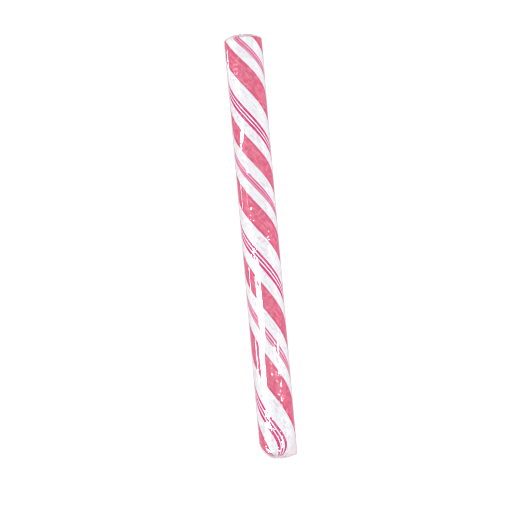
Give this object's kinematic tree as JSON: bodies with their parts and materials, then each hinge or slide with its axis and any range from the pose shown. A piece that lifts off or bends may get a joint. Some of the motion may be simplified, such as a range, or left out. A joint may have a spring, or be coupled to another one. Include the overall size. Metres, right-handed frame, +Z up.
{
  "type": "wrapped hard candy stick",
  "caption": "Straight striped hard candy stick, lying on its side in a clear film wrap that is lapped along its length and pleated over both ends.",
  "frame": {"origin": "on the surface the stick lies on, under the middle of its length and width", "axes": "+Y along the stick, from its rounded end towards its cut end; +Z up out of the side that shows"},
  "size_m": [0.0114, 0.1284, 0.0112],
  "materials": {
    "striped_sugar": "glossy boiled sugar, pink and white twisted stripes",
    "clear_film": "clear glossy cellulose film"
  },
  "bodies": {
    "root": {"candy_stick": "striped_sugar", "film_wrap": "clear_film"}
  },
  "joints": []
}
